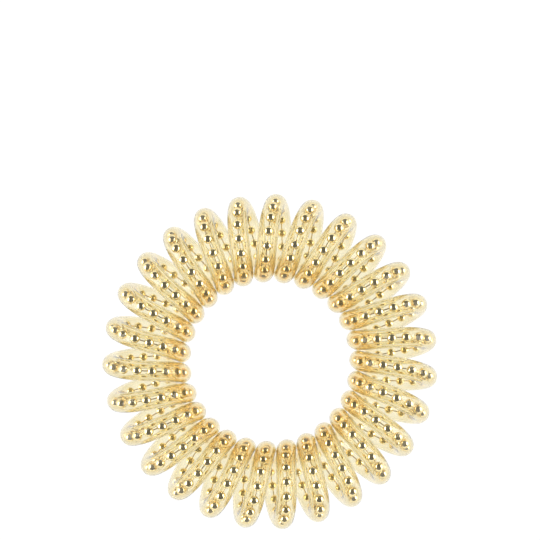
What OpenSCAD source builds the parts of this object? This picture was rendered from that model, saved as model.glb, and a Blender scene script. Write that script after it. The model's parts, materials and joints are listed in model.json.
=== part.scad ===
// Spiral hair tie: one endless clear cord, wound into coils that close into a ring.
// A string of beads runs inside the cord all the way round.
// The ring lies flat with Z up. The origin is on the ring's axis, on the surface that it lies on.

/* [Ring] */
// Outer diameter of the whole ring
ring_d = 50; // [45:1:70]
// Diameter over one coil, which is also the height of the ring
coil_d = 13.2; // [11:0.1:16]
// Clear space between neighbouring turns at the hole, where they crowd
turn_gap = 0.08; // [0.05:0.01:0.5]

/* [Cord] */
// Outer diameter of the clear cord
cord_d = 3; // [2.4:0.05:3.6]
// Thickness of the cord's wall
wall = 0.3; // [0.2:0.05:0.5]

/* [Beads] */
// Diameter of one bead, and so of the string
bead_d = 1.5; // [1:0.05:1.8]
// Clear space between the beads and the outer side of the bore, where they lie
bead_play = 0.08; // [0.05:0.01:0.2]

/* [Hidden] */

// Diameter of the cord's bore
bore_d = cord_d - 2 * wall;
// Distance of the string from the cord's centre line, towards the outside of the coil
string_out = (bore_d - bead_d) / 2 - bead_play;

// Radius of the cord's centre line as it winds round a coil
coil_r = (coil_d - cord_d) / 2;
// Radius of the circle that runs through the middle of every coil
ring_r = (ring_d - coil_d) / 2;
// Turns that lie side by side round the hole
turns = floor(2 * PI * (ring_r - coil_r) / (cord_d + turn_gap));
// Bearing of the first turn's innermost point, from +X towards +Y
first_bearing = 94.1;

// Rings of points that make up one turn, in fours so that the coil keeps its full size each way
rings_per_turn = 12;
// Sides of the cord, and of the bore and the string inside it
cord_sides = 8;
string_sides = 5;

// Position along the cord is an angle that grows by 360 a turn.
// It is 0 at the hole, 90 on top, 180 at the rim and 270 underneath, so the coil is left-handed.

// Bearing of a position, which goes once clockwise round the ring
function bearing(along) = first_bearing - along / turns;

// Level direction away from the ring's axis, and the level direction square to it
function outward(along) = [cos(bearing(along)), sin(bearing(along)), 0];
function sideways(along) = [-sin(bearing(along)), cos(bearing(along)), 0];

// Direction from the middle of the coil to the cord
function spoke(along) = -cos(along) * outward(along) + [0, 0, sin(along)];

// Centre line of the cord
function centre(along) = ring_r * outward(along) + coil_r * spoke(along) + [0, 0, coil_d / 2];

// Direction in which the cord runs on, of length 1
function heading(along) =
    let (round_coil = coil_r * (sin(along) * outward(along) + [0, 0, cos(along)]),
         round_ring = -(ring_r - coil_r * cos(along)) / turns * sideways(along),
         run = round_coil + round_ring)
    run / norm(run);

// Point on a round section of the given radius, square to the cord.
// The section lies the distance out from the centre line, towards the outside of the coil.
function section_point(along, radius, angle, out) =
    centre(along) + (out + radius * cos(angle)) * spoke(along)
        + radius * sin(angle) * cross(heading(along), spoke(along));

// Endless tube along the cord, on its centre line or the distance out from it
module coiled(diameter, sides, out = 0) {
    rings = turns * rings_per_turn;
    points = [for (ring = [0 : rings - 1], side = [0 : sides - 1])
        section_point(360 * ring / rings_per_turn, diameter / 2, 360 * side / sides, out)];
    faces = [for (ring = [0 : rings - 1], side = [0 : sides - 1])
        let (here = ring * sides,
             next = (ring + 1) % rings * sides,
             other = (side + 1) % sides)
        each [[here + side, next + side, here + other],
              [here + other, next + side, next + other]]];
    polyhedron(points, faces, convexity = 20);
}

// Clear cord, hollow all the way round
module clear_cord() {
    color([0.97, 0.93, 0.78, 0.4])
    difference() {
        coiled(cord_d, cord_sides);
        coiled(bore_d, string_sides);
    }
}

// String of gilt beads, as a tube of their diameter that lies along the outer side of the bore
module bead_string() {
    color([0.86, 0.66, 0.32])
    coiled(bead_d, string_sides, string_out);
}

clear_cord();
bead_string();
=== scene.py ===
# %% [markdown]
# # A spiral hair tie
# A spiral hair tie is one endless cord of clear soft plastic, extruded straight, wound into coils
# and welded end to end. This one is hollow, and a string of small gilt beads runs inside it all the
# way round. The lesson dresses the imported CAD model: it is loaded as a fixed frame, and every piece
# made here goes where the frame says, in metres.

# %% Load the frame
import json
import math
import bpy
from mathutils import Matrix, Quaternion, Vector

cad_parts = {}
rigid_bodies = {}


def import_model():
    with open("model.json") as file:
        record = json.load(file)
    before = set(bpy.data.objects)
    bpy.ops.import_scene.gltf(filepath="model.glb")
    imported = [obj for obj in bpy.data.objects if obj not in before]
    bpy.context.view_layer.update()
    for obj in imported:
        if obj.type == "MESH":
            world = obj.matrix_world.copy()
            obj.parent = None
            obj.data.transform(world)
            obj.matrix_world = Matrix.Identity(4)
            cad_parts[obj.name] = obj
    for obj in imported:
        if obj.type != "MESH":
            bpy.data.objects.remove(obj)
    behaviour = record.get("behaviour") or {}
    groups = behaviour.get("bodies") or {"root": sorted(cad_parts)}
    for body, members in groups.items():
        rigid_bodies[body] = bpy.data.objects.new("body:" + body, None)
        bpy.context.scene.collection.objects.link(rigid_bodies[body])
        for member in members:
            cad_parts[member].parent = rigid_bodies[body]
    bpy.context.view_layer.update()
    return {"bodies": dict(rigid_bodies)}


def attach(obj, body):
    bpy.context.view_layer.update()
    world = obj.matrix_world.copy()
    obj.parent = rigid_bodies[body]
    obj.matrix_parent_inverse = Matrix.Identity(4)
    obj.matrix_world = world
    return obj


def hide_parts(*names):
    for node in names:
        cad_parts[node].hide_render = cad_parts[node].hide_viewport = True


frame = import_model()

# %% [markdown]
# ## The driving dimensions
# Everything in this scene follows from a few sizes of the real tie, in millimetres here as a maker
# would write them. The ring, the coil, the cord with its bore and the beads are as the CAD model
# has them. Angles along the cord grow by a full turn a coil, from zero at the hole.

# %% Sizes
MM = 0.001
ring_d = 50 * MM
coil_d = 13.2 * MM
cord_d = 3 * MM
wall = 0.3 * MM
bead_d = 1.5 * MM
bead_play = 0.08 * MM  # between the beads and the outer side of the bore
thread_d = 0.18 * MM
turns = 27
beads = 425
first_bearing = math.radians(94.1)  # of the first turn's innermost point
first_bead = math.radians(7.3)  # along the cord
coil_r = (coil_d - cord_d) / 2
ring_r = (ring_d - coil_d) / 2
hole_r = ring_d / 2 - coil_d
bore_d = cord_d - 2 * wall
string_out = (bore_d - bead_d) / 2 - bead_play
print("coil radius", round(coil_r / MM, 2), "mm, ring radius", round(ring_r / MM, 2), "mm")

# %% [markdown]
# ## The camera
# The tie was photographed from straight above, from about half a metre, with the ring well below the
# picture's middle. A camera with shift could copy that, but a camera that stands over the ring and
# aims at the point in the picture's middle needs none, so other views stay centred.

# %% Camera
photo_side = 540  # pixels
ring_across_photo = 335.6
ring_in_photo = Vector((269.65, 361.5))
camera_height = 0.5
pixel = ring_d / ring_across_photo
lens_data = bpy.data.cameras.new("camera")
lens_data.lens = lens_data.sensor_width * camera_height / (photo_side * pixel)
camera = bpy.data.objects.new("camera", lens_data)
bpy.context.scene.collection.objects.link(camera)
camera.location = (0, 0, coil_d / 2 + camera_height)
middle = Vector(((photo_side / 2 - ring_in_photo.x) * pixel,
                 (ring_in_photo.y - photo_side / 2) * pixel, coil_d / 2))
camera.rotation_euler = (middle - camera.location).to_track_quat("-Z", "Y").to_euler()
bpy.context.scene.camera = camera
print("lens", round(lens_data.lens, 1), "mm")

# %% [markdown]
# ## The route of the cord
# The cord's centre line winds round a circle, one coil after another, and closes after 27 turns.
# One function gives a point for each position along it. A quarter turn on from the hole it is on
# top. The cord, the beads and the thread all follow this route, so a change in one size moves them
# together.

# %% Route
def place(along, out=0.0):
    """Point on the cord's centre line, or that far from it towards the outside of the coil."""
    bearing = first_bearing - along / turns
    reach = ring_r - (coil_r + out) * math.cos(along)
    return Vector((reach * math.cos(bearing), reach * math.sin(bearing),
                   coil_d / 2 + (coil_r + out) * math.sin(along)))


def route(name, points, start=0.0, out=0.0):
    """Closed curve of that many points along the cord."""
    curve = bpy.data.curves.new(name, "CURVE")
    curve.dimensions = "3D"
    line = curve.splines.new("POLY")
    line.points.add(points - 1)
    for i, point in enumerate(line.points):
        point.co = (*place(start + math.tau * turns * i / points, out), 1)
    line.use_cyclic_u = True
    made = bpy.data.objects.new(name, curve)
    bpy.context.scene.collection.objects.link(made)
    return made


print("the cord's centre line starts at", [round(c / MM, 1) for c in place(0)])

# %% [markdown]
# ## A tube along the route
# The cord and the thread are both endless round tubes. A curve swept with a round bevel gives one
# in a step, and turned into a mesh it keeps even rings. Bridging rings one by one would do it too,
# slowly.

# %% Tube
def only(piece):
    """Selects one piece and nothing else."""
    bpy.ops.object.select_all(action="DESELECT")
    piece.select_set(True)
    bpy.context.view_layer.objects.active = piece


def tube(name, diameter, sides, rings_per_turn, out=0.0):
    """Endless round tube along the route, as a smooth mesh."""
    piece = route(name, turns * rings_per_turn, out=out)
    piece.data.bevel_depth = diameter / 2
    piece.data.bevel_resolution = sides // 2 - 2
    piece.data.twist_mode = "MINIMUM"
    only(piece)
    bpy.ops.object.convert(target="MESH")
    piece = bpy.context.object
    bpy.ops.object.shade_smooth()
    return piece


print("tubes follow", turns, "turns")

# %% [markdown]
# ## The clear cord
# The real cord is an extruded hose with a thin wall and a wide bore. One tube makes its outside,
# and a second one makes the bore, turned inside out and joined to it, so that the plastic lies
# between the two. A Solidify modifier would give the wall too, but two tubes round the same route
# keep both surfaces as even as the route is, and the light that bends in them stays smooth.

# %% Clear cord
cord_sides = 28
cord_rings = 56  # in one turn
cord = tube("cord", cord_d, cord_sides, cord_rings)
bore = tube("bore", bore_d, cord_sides, cord_rings)
bpy.ops.object.mode_set(mode="EDIT")
bpy.ops.mesh.select_all(action="SELECT")
bpy.ops.mesh.flip_normals()
bpy.ops.object.mode_set(mode="OBJECT")
only(cord)
bore.select_set(True)
bpy.ops.object.join()
print("cord", len(cord.data.polygons), "faces")

# %% [markdown]
# ## One bead
# The beads are round, with a fine hole. One is modelled from a ball: its two poles are bevelled to
# small round faces, and these are bridged, which makes the hole's wall. A Boolean with a fine rod
# would drill it too, but it leaves odd long faces round the hole's edge.

# %% One bead
hole_cut = 0.05 * MM  # from the pole to the hole's edge
pole_height = 0.49 * bead_d  # only the two poles lie further out
hole_height = 0.47 * bead_d  # only the hole's two faces lie further out, once they are cut
bpy.ops.object.select_all(action="DESELECT")
bpy.ops.mesh.primitive_uv_sphere_add(segments=10, ring_count=6, radius=bead_d / 2)
bead = bpy.context.object
bead.name = "beads"
bpy.ops.object.mode_set(mode="EDIT")
bpy.ops.mesh.select_mode(type="VERT")
bpy.ops.mesh.select_all(action="DESELECT")
bpy.ops.object.mode_set(mode="OBJECT")
for corner in bead.data.vertices:
    corner.select = abs(corner.co.z) > pole_height
bpy.ops.object.mode_set(mode="EDIT")
bpy.ops.mesh.bevel(affect="VERTICES", offset=hole_cut)
bpy.ops.mesh.select_mode(type="FACE")
bpy.ops.object.mode_set(mode="OBJECT")
for face in bead.data.polygons:
    face.select = abs(face.center.z) > hole_height
bpy.ops.object.mode_set(mode="EDIT")
bpy.ops.mesh.bridge_edge_loops()
bpy.ops.object.mode_set(mode="OBJECT")
bpy.ops.object.shade_smooth_by_angle(angle=math.radians(50))
print("one bead has", len(bead.data.polygons), "faces")

# %% [markdown]
# ## The string of beads
# The beads sit at even steps on their thread, and the string lies along the outer side of the bore,
# where the coiled cord presses it. Geometry Nodes set a copy of the bead at every step, turned to
# face along the thread, and make the copies real. An array bent along a curve would be shorter, but
# it would squash the beads where the cord bends.

# %% All the beads
string_steps = 96  # points of the string's curve in one turn
string_line = route("string_line", turns * string_steps, first_bead, string_out)
group = bpy.data.node_groups.new("string of beads", "GeometryNodeTree")
for way in ("INPUT", "OUTPUT"):
    group.interface.new_socket("Geometry", in_out=way, socket_type="NodeSocketGeometry")
start, end = group.nodes.new("NodeGroupInput"), group.nodes.new("NodeGroupOutput")
line = group.nodes.new("GeometryNodeObjectInfo")
line.inputs["Object"].default_value = string_line
steps = group.nodes.new("GeometryNodeCurveToPoints")
steps.mode = "COUNT"
steps.inputs["Count"].default_value = beads
copies = group.nodes.new("GeometryNodeInstanceOnPoints")
real = group.nodes.new("GeometryNodeRealizeInstances")
for source, target in ((line.outputs["Geometry"], steps.inputs["Curve"]),
                       (steps.outputs["Points"], copies.inputs["Points"]),
                       (steps.outputs["Rotation"], copies.inputs["Rotation"]),
                       (start.outputs["Geometry"], copies.inputs["Instance"]),
                       (copies.outputs["Instances"], real.inputs["Geometry"]),
                       (real.outputs["Geometry"], end.inputs["Geometry"])):
    group.links.new(source, target)
bead.modifiers.new("string", "NODES").node_group = group
only(bead)
bpy.ops.object.modifier_apply(modifier="string")
bead.data.materials.clear()
bpy.data.objects.remove(string_line)
print("beads", len(bead.data.polygons), "faces")

# %% [markdown]
# ## The thread
# The thread runs through all the beads, fills their holes and shows as a fine line between them. It
# is not much thicker than a hair, so six sides are enough: a rounder tube would add faces that
# nobody sees.

# %% Thread tube
thread_sides = 6
thread_rings = 48  # in one turn
thread = tube("thread", thread_d, thread_sides, thread_rings, string_out)
print("thread", len(thread.data.polygons), "faces")

# %% [markdown]
# ## Writing a material as sums
# A material's numbers come from a tree of nodes. One small class wraps a node's output, so that a
# sum in Python adds the Math nodes by itself, and one method adds any other node. Values that never
# change are set straight on the main shader.

# %% Sums on sockets
class Wire:
    """An output of a material's nodes, which + - * work on."""

    def __init__(self, tree, socket=None):
        self.tree, self.socket = tree, socket

    def node(self, kind, settings=None, inputs=None, output=0):
        made = self.tree.nodes.new(kind)
        for name, setting in (settings or {}).items():
            setattr(made, name, setting)
        for name, value in (inputs or {}).items():
            if isinstance(value, Wire):
                self.tree.links.new(value.socket, made.inputs[name])
            else:
                made.inputs[name].default_value = value
        return Wire(self.tree, made.outputs[output])

    def sum(self, operation, one, two):
        return self.node("ShaderNodeMath", {"operation": operation}, {0: one, 1: two})

    def __add__(self, other): return self.sum("ADD", self, other)
    def __radd__(self, other): return self.sum("ADD", other, self)
    def __sub__(self, other): return self.sum("SUBTRACT", self, other)
    def __rsub__(self, other): return self.sum("SUBTRACT", other, self)
    def __mul__(self, other): return self.sum("MULTIPLY", self, other)
    def __rmul__(self, other): return self.sum("MULTIPLY", other, self)


print("sums ready")

# %% [markdown]
# ## What every material needs
# Each finish here starts from the same shader, and most vary a colour by soft noise. A few small
# functions say that once, so that a material's own cell shows only what is its own.

# %% Material helpers
def material(name, fixed):
    """New material with those fixed values, its main shader and a Wire to hang nodes on."""
    made = bpy.data.materials.new(name)
    made.use_nodes = True
    shader = made.node_tree.nodes["Principled BSDF"]
    for socket, value in fixed.items():
        shader.inputs[socket].default_value = value
    return made, shader, Wire(made.node_tree)


def noise(wire, spot, scale, detail):
    """Soft noise from 0 to 1, with about that many waves in a metre."""
    return wire.node("ShaderNodeTexNoise",
                     inputs={"Vector": spot, "Scale": scale, "Detail": detail})


def blend(wire, factor, one, two):
    """Colour that goes from one to two as the factor goes from 0 to 1."""
    colour_result = 2  # after the Mix node's results for numbers and for vectors
    return wire.node("ShaderNodeMix", {"data_type": "RGBA"}, {"Factor": factor, "A": one, "B": two},
                     colour_result)


def fade(wire, value, none_at, full_at):
    """Goes softly from 0, where the value is none_at, to 1, where it is full_at."""
    return wire.node("ShaderNodeMapRange", {"interpolation_type": "SMOOTHSTEP"},
                     {"Value": value, "From Min": none_at, "From Max": full_at})


def feed(wire, values, shader):
    """Links each value to the shader's socket of that name."""
    for name, value in values.items():
        wire.tree.links.new(value.socket, shader.inputs[name])


print("helpers ready")

# %% [markdown]
# ## Clear plastic
# The plastic is clear with a warm yellow tint, which shows most where the light runs along the
# wall, at the hole and at the rim. A tint on the surface alone would colour thin and thick places
# alike, so most of the colour comes from the depth of plastic, by a Volume Absorption node. The
# surface colour also carries painted shade: it is painted deeper at the hole, where the turns crowd
# and keep light off, and greyer at the rim. Extruded plastic is never quite even, so the gloss
# varies and the surface is a little wavy.

# %% Clear plastic
middle_tint = (1, 0.988, 0.95, 1)
# painted shade: the surface colour is painted deeper at the hole and greyer at the rim
hole_shade_tint = (0.975, 0.9, 0.75, 1)
rim_shade_tint = (0.945, 0.91, 0.825, 1)
depth_tint, depth_strength = (0.84, 0.7, 0.1, 1), 630
clear, shader, wire = material("clear plastic", {"Transmission Weight": 0.985, "IOR": 1.46,
                                                 "Specular Tint": (0.3, 0.3, 0.3, 1)})
spot = wire.node("ShaderNodeTexCoord", output="Object")
level = wire.node("ShaderNodeVectorMath", {"operation": "MULTIPLY"}, {0: spot, 1: (1, 1, 0)})
reach = wire.node("ShaderNodeVectorMath", {"operation": "LENGTH"}, {0: level}, "Value")
across = (reach - hole_r) * (1 / coil_d)  # 0 at the hole and 1 at the rim
# masks of the painted shade, strongest at the hole and at the rim
hole_shade = fade(wire, across, none_at=0.4, full_at=0.1)
rim_shade = fade(wire, across, none_at=0.6, full_at=0.95)
colour = blend(wire, rim_shade, blend(wire, hole_shade, middle_tint, hole_shade_tint), rim_shade_tint)
haze = noise(wire, spot, scale=900, detail=3)
waves = noise(wire, spot, scale=420, detail=1)
bumps = wire.node("ShaderNodeBump",
                  inputs={"Height": waves, "Strength": 0.08, "Distance": 0.03 * MM})
feed(wire, {"Base Color": colour, "Roughness": 0.004 + 0.016 * haze, "Normal": bumps}, shader)
depth = wire.node("ShaderNodeVolumeAbsorption",
                  inputs={"Color": depth_tint, "Density": depth_strength})
wire.tree.links.new(depth.socket, wire.tree.nodes["Material Output"].inputs["Volume"])
cord.data.materials.append(clear)
print(clear.name, len(clear.node_tree.nodes), "nodes")

# %% [markdown]
# ## Gilt
# The beads are plated with a bright, very pale gold, which mirrors the room, and look yellower for
# the plastic in front of them. Plating is a thin film over a moulded bead, so its colour drifts a
# little from bead to bead and its gloss from place to place. One flat gold would look like paint.

# %% Gilt
pale_gold, deep_gold = (0.95, 0.9, 0.74, 1), (0.93, 0.86, 0.66, 1)
gilt, shader, wire = material("gilt", {"Metallic": 1})
spot = wire.node("ShaderNodeTexCoord", output="Object")
drift = noise(wire, spot, scale=450, detail=1)
colour = blend(wire, drift, pale_gold, deep_gold)
wear = noise(wire, spot, scale=2500, detail=2)
dents = wire.node("ShaderNodeBump", inputs={"Height": wear, "Strength": 0.1, "Distance": 0.01 * MM})
feed(wire, {"Base Color": colour, "Roughness": 0.01 + 0.03 * wear, "Normal": dents}, shader)
bead.data.materials.append(gilt)
print(gilt.name, len(gilt.node_tree.nodes), "nodes")

# %% [markdown]
# ## The thread's finish
# The thread is plated with the beads and mirrors the room as they do: it is dark where it runs
# level and bright where it leans. The film is thinner on it, so its colour is browner and mottled.

# %% Plated thread
brown_gold, light_gold = (0.66, 0.54, 0.36, 1), (0.8, 0.68, 0.48, 1)
plated, shader, wire = material("thread", {"Metallic": 1})
spot = wire.node("ShaderNodeTexCoord", output="Object")
mottle = noise(wire, spot, scale=3000, detail=1)
colour = blend(wire, mottle, brown_gold, light_gold)
feed(wire, {"Base Color": colour, "Roughness": 0.02 + 0.08 * mottle}, shader)
thread.data.materials.append(plated)
print(plated.name, len(plated.node_tree.nodes), "nodes")

# %% [markdown]
# ## The studio
# The tie lies on a glossy white light table, so nothing casts a shadow: a floor that glows as
# bright as paper does that, where a lit sheet of paper would turn grey under the coils. A low white
# screen stands all round, nearly two metres away, and makes the pale edge of every bead.

# %% Table and screen
table_side = 4
screen_r = 1.9
screen_tall = screen_r * math.tan(math.radians(14))  # as seen from the tie
white, dark = (1, 1, 1, 1), (0.05, 0.05, 0.05, 1)


def glowing(name, roughness, strength):
    """Material that glows white and would be dark without its glow."""
    made, _, _ = material(name, {"Base Color": dark, "Roughness": roughness,
                                 "Emission Color": white, "Emission Strength": strength})
    return made


bpy.ops.object.select_all(action="DESELECT")
bpy.ops.mesh.primitive_plane_add(size=table_side)
floor = bpy.context.object
floor.name = "floor"
floor.data.materials.append(glowing("white table", roughness=0.12, strength=1.02))
bpy.ops.object.select_all(action="DESELECT")
bpy.ops.mesh.primitive_cylinder_add(vertices=64, radius=screen_r, depth=screen_tall,
                                    end_fill_type="NOTHING", location=(0, 0, screen_tall / 2))
screen = bpy.context.object
screen.name = "screen"
screen.data.materials.append(glowing("white cloth", roughness=0.9, strength=1))
print("screen", round(screen_tall, 2), "m tall")

# %% [markdown]
# ## The light
# Two softboxes, left and right, lean over the table and are rolled a little. They and their
# reflections in the table make the two white patches on every bead, and the dim room between them
# makes the dark line down its middle. One light from above would leave the beads flat.

# %% Light
def softbox(name, side, lean, distance, across, tall, power, roll):
    """A soft light that leans over from straight above by that angle, aimed at the tie."""
    light = bpy.data.lights.new(name, "AREA")
    light.shape, light.size, light.size_y, light.energy = "ELLIPSE", across, tall, power
    made = bpy.data.objects.new(name, light)
    bpy.context.scene.collection.objects.link(made)
    made.location = (side * distance * math.sin(lean), 0, distance * math.cos(lean))
    aim = (-made.location).to_track_quat("-Z", "Y")
    made.rotation_euler = (aim @ Quaternion((0, 0, 1), side * roll)).to_euler()


for name, side in (("left softbox", -1), ("right softbox", 1)):
    softbox(name, side, lean=math.radians(64), distance=0.6, across=0.68, tall=0.34, power=3.1,
            roll=math.radians(18))
room = bpy.data.worlds.new("room")
bpy.context.scene.world = room
room.use_nodes = True
room_light = room.node_tree.nodes["Background"].inputs
room_light["Color"].default_value = white
room_light["Strength"].default_value = 0.14
print("two softboxes in a dim room")

# %% [markdown]
# ## Light through the plastic
# A ray that reaches a lower bead passes many walls of plastic, so the paths are allowed to be long.
# With the usual few bounces the coils would fill with black.

# %% Long paths
scene = bpy.context.scene
scene.view_settings.view_transform = "Standard"
scene.cycles.max_bounces = scene.cycles.transmission_bounces = 32
scene.cycles.glossy_bounces = 12
print("up to", scene.cycles.max_bounces, "bounces")

# %% [markdown]
# ## Putting it together
# Each piece is attached to the frame's body that it moves with, and the CAD part that it stands
# for is hidden.

# %% Put together
body = sorted(frame["bodies"])[0]
for piece, node, slot in ((cord, "clear_cord", "clear_plastic"),
                          (bead, "bead_string", "gilt_beads"),
                          (thread, "bead_string", "gilt_beads")):
    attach(piece, body)
    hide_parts(node)
